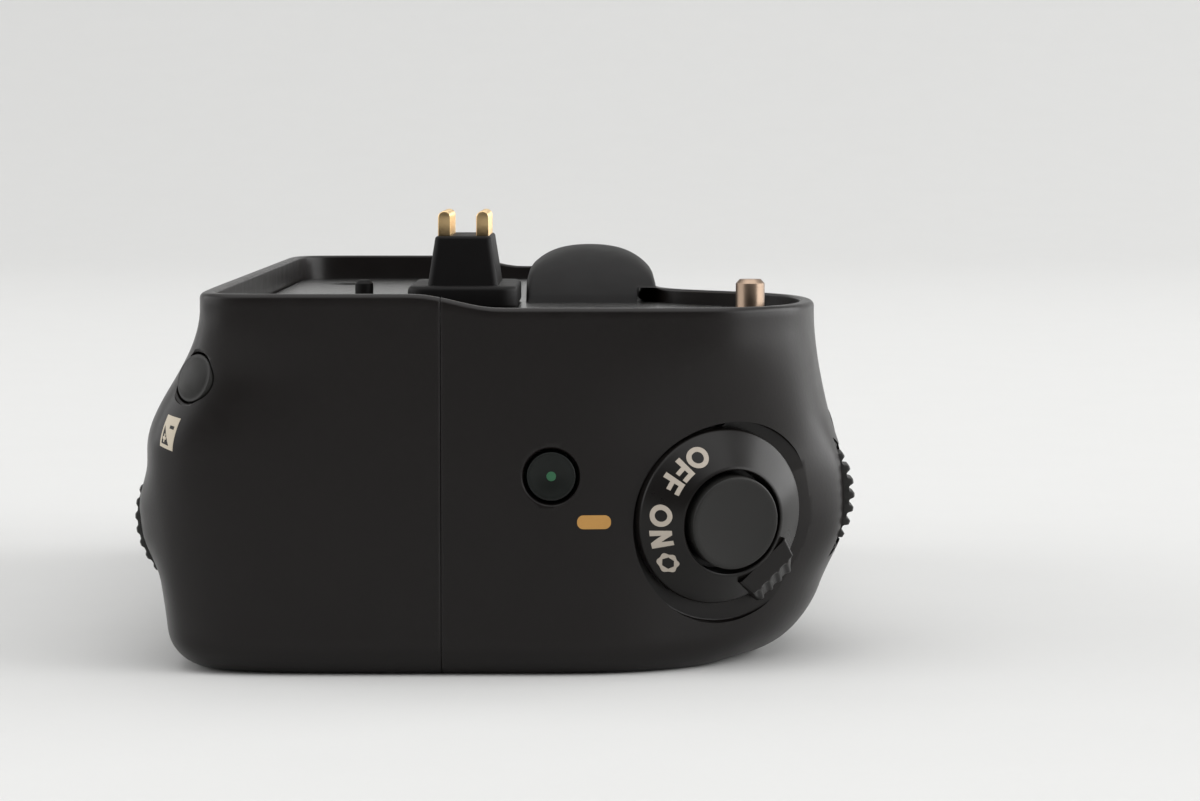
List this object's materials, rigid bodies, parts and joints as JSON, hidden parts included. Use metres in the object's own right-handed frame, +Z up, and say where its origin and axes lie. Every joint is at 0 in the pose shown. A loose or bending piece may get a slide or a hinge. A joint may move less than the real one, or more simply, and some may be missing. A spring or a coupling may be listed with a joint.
{
  "type": "camera battery grip",
  "caption": "Battery grip that screws under a camera: vertical shutter button with power ring, thumb dials, connector tower, fixing wheel and sliding battery tray.",
  "frame": {"origin": "centre of the tripod socket's mouth, on the underside and on the lens axis", "axes": "+X along the length from the shutter end to the battery door end, -Y towards the subject (front), +Z up towards the camera"},
  "size_m": [0.1311, 0.0745, 0.0462],
  "materials": {
    "casing": "fine leather-like grain, black",
    "deck": "smooth satin black plastic",
    "rubber": "soft matte rubber with fine grain",
    "control": "satin black plastic controls",
    "ring": "satin black anodised metal with engraved white marks",
    "steel": "turned steel",
    "plate": "black coated metal plate",
    "gold": "gold plated contact",
    "frame": "moulded grey-black plastic",
    "board": "green circuit board",
    "switch": "small moulded switch bodies",
    "cell": "printed metal jacket of plain battery cells"
  },
  "bodies": {
    "grip_body": {"front_casing": "casing", "rear_casing": "casing", "top_deck": "deck", "lens_shoulder": "casing", "base_plate": "plate", "tripod_bush": "steel", "chassis": "frame", "connector_tower": "deck", "connector_contacts": "gold", "guide_pin": "steel", "locating_peg": "deck", "front_dial_axle": "steel", "rear_dial_axle": "steel", "control_board": "board", "release_switch": "switch", "tact_switches": "switch", "rear_switch_strip": "gold", "chamber_contacts": "gold", "case_screws": "steel", "deck_screws": "steel", "front_grip_skin": "rubber", "thumb_rest_skin": "rubber"},
    "shutter_button": {"shutter_button": "control"},
    "power_ring": {"power_ring": "ring", "ring_retainer": "steel"},
    "green_button": {"green_button": "control"},
    "exposure_button": {"exposure_button": "control"},
    "focus_button": {"focus_button": "control"},
    "lock_button": {"lock_button": "control"},
    "front_dial": {"front_dial": "control"},
    "rear_dial": {"rear_dial": "control"},
    "fixing_wheel": {"fixing_wheel": "control", "fixing_screw": "steel", "thrust_washer": "steel"},
    "battery_tray": {"battery_tray": "frame", "tray_door": "casing", "battery_cells": "cell", "tray_contacts": "gold"},
    "tray_latch": {"tray_latch": "control", "latch_tongue": "steel"}
  },
  "joints": [
    {"name": "shutter_press", "type": "slide", "parent": "grip_body", "child": "shutter_button", "axis": [0.9032, 0.414, 0.1135], "range_m": [0, 0.0012], "stiffness_N_per_m": 400, "springref_m": -0.0005},
    {"name": "ring_turn", "type": "hinge", "parent": "grip_body", "child": "power_ring", "pos_m": [-0.06607, -0.0282, 0.0159], "axis": [-0.9032, -0.414, -0.1135], "range_deg": [-32, 62]},
    {"name": "green_press", "type": "slide", "parent": "grip_body", "child": "green_button", "axis": [1, 0, 0], "range_m": [0, 0.0006], "stiffness_N_per_m": 300, "springref_m": -0.0005},
    {"name": "exposure_press", "type": "slide", "parent": "grip_body", "child": "exposure_button", "axis": [0.6806, -0.6806, -0.2712], "range_m": [0, 0.0006], "stiffness_N_per_m": 300, "springref_m": -0.0005},
    {"name": "focus_press", "type": "slide", "parent": "grip_body", "child": "focus_button", "axis": [-0.0138, -0.9936, -0.1124], "range_m": [0, 0.0006], "stiffness_N_per_m": 300, "springref_m": -0.0005},
    {"name": "lock_press", "type": "slide", "parent": "grip_body", "child": "lock_button", "axis": [-0.0234, -0.9938, -0.1084], "range_m": [0, 0.0006], "stiffness_N_per_m": 300, "springref_m": -0.0005},
    {"name": "front_dial_turn", "type": "hinge", "parent": "grip_body", "child": "front_dial", "pos_m": [-0.052, -0.0341, 0.017], "axis": [1, 0, 0], "continuous": true},
    {"name": "rear_dial_turn", "type": "hinge", "parent": "grip_body", "child": "rear_dial", "pos_m": [-0.058, 0.02335, 0.0154], "axis": [1, 0, 0], "continuous": true},
    {"name": "wheel_turn", "type": "hinge", "parent": "grip_body", "child": "fixing_wheel", "pos_m": [0, 0, 0.0304], "axis": [0, 0, 1], "continuous": true},
    {"name": "tray_slide", "type": "slide", "parent": "grip_body", "child": "battery_tray", "axis": [1, 0, 0], "range_m": [0, 0.104]},
    {"name": "latch_turn", "type": "hinge", "parent": "battery_tray", "child": "tray_latch", "pos_m": [0.058, 0, 0.0152], "axis": [1, 0, 0], "range_deg": [-90, 0]}
  ]
}
